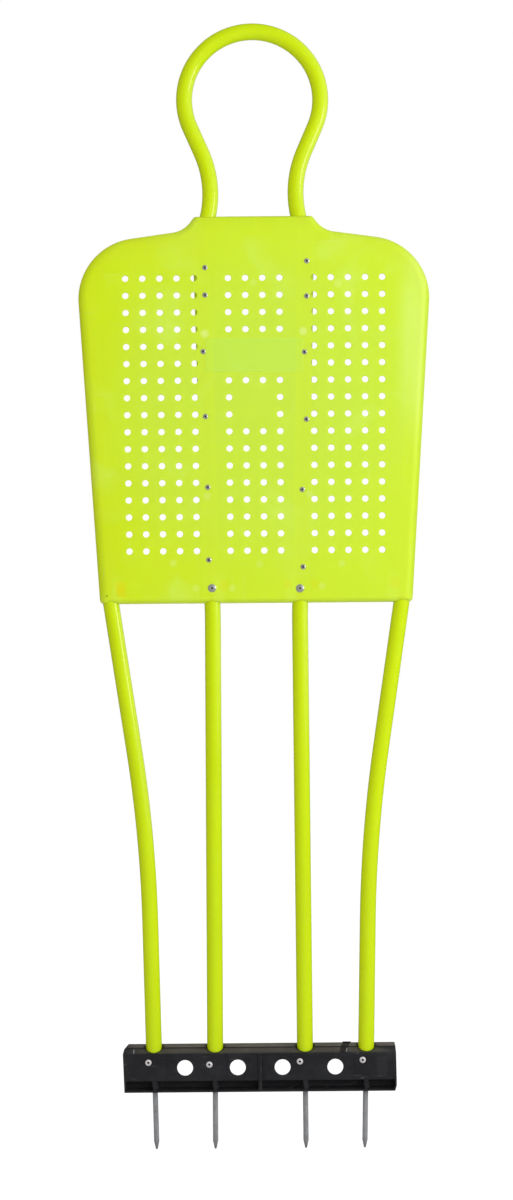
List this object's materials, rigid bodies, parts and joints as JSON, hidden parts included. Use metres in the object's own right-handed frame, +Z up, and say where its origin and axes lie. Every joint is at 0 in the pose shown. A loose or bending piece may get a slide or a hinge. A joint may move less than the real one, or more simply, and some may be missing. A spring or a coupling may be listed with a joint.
{
  "type": "free kick mannequin",
  "caption": "Free-kick training dummy: a perforated plastic torso panel riveted to a bent steel tube frame with a head loop and legs, standing in a black base bar with ground spikes.",
  "frame": {"origin": "middle of the base bar's underside, at turf level", "axes": "+Z up the mannequin, -Y out of its front, +X towards the shoulder on the right as seen from the front"},
  "size_m": [0.5926, 0.0364, 1.8993],
  "materials": {
    "panel_plastic": "slightly translucent moulded plastic, fluorescent yellow-green, satin",
    "tube_coating": "glossy fluorescent yellow-green powder coat on steel tube",
    "bar_plastic": "black moulded plastic, matt, lightly scuffed",
    "plug_plastic": "black moulded plastic, matt",
    "spike_steel": "zinc-plated steel, dull",
    "rivet_metal": "bright aluminium with a dark drawn mandrel"
  },
  "bodies": {
    "root": {"inner_frame_tube": "tube_coating", "outer_leg_tube_left": "tube_coating", "outer_leg_tube_right": "tube_coating", "torso_panel": "panel_plastic", "base_bar": "bar_plastic", "leg_plug_outer_left": "plug_plastic", "leg_plug_inner_left": "plug_plastic", "leg_plug_inner_right": "plug_plastic", "leg_plug_outer_right": "plug_plastic", "ground_spike_outer_left": "spike_steel", "ground_spike_inner_left": "spike_steel", "ground_spike_inner_right": "spike_steel", "ground_spike_outer_right": "spike_steel", "panel_rivet_left_1": "rivet_metal", "panel_rivet_left_2": "rivet_metal", "panel_rivet_left_3": "rivet_metal", "panel_rivet_left_4": "rivet_metal", "panel_rivet_left_5": "rivet_metal", "panel_rivet_left_6": "rivet_metal", "panel_rivet_right_1": "rivet_metal", "panel_rivet_right_2": "rivet_metal", "panel_rivet_right_3": "rivet_metal", "panel_rivet_right_4": "rivet_metal", "panel_rivet_right_5": "rivet_metal", "panel_rivet_right_6": "rivet_metal", "hem_rivet_left": "rivet_metal", "hem_rivet_right": "rivet_metal", "base_rivet_outer_left": "rivet_metal", "base_rivet_inner_left": "rivet_metal", "base_rivet_inner_right": "rivet_metal", "base_rivet_outer_right": "rivet_metal"}
  },
  "joints": []
}
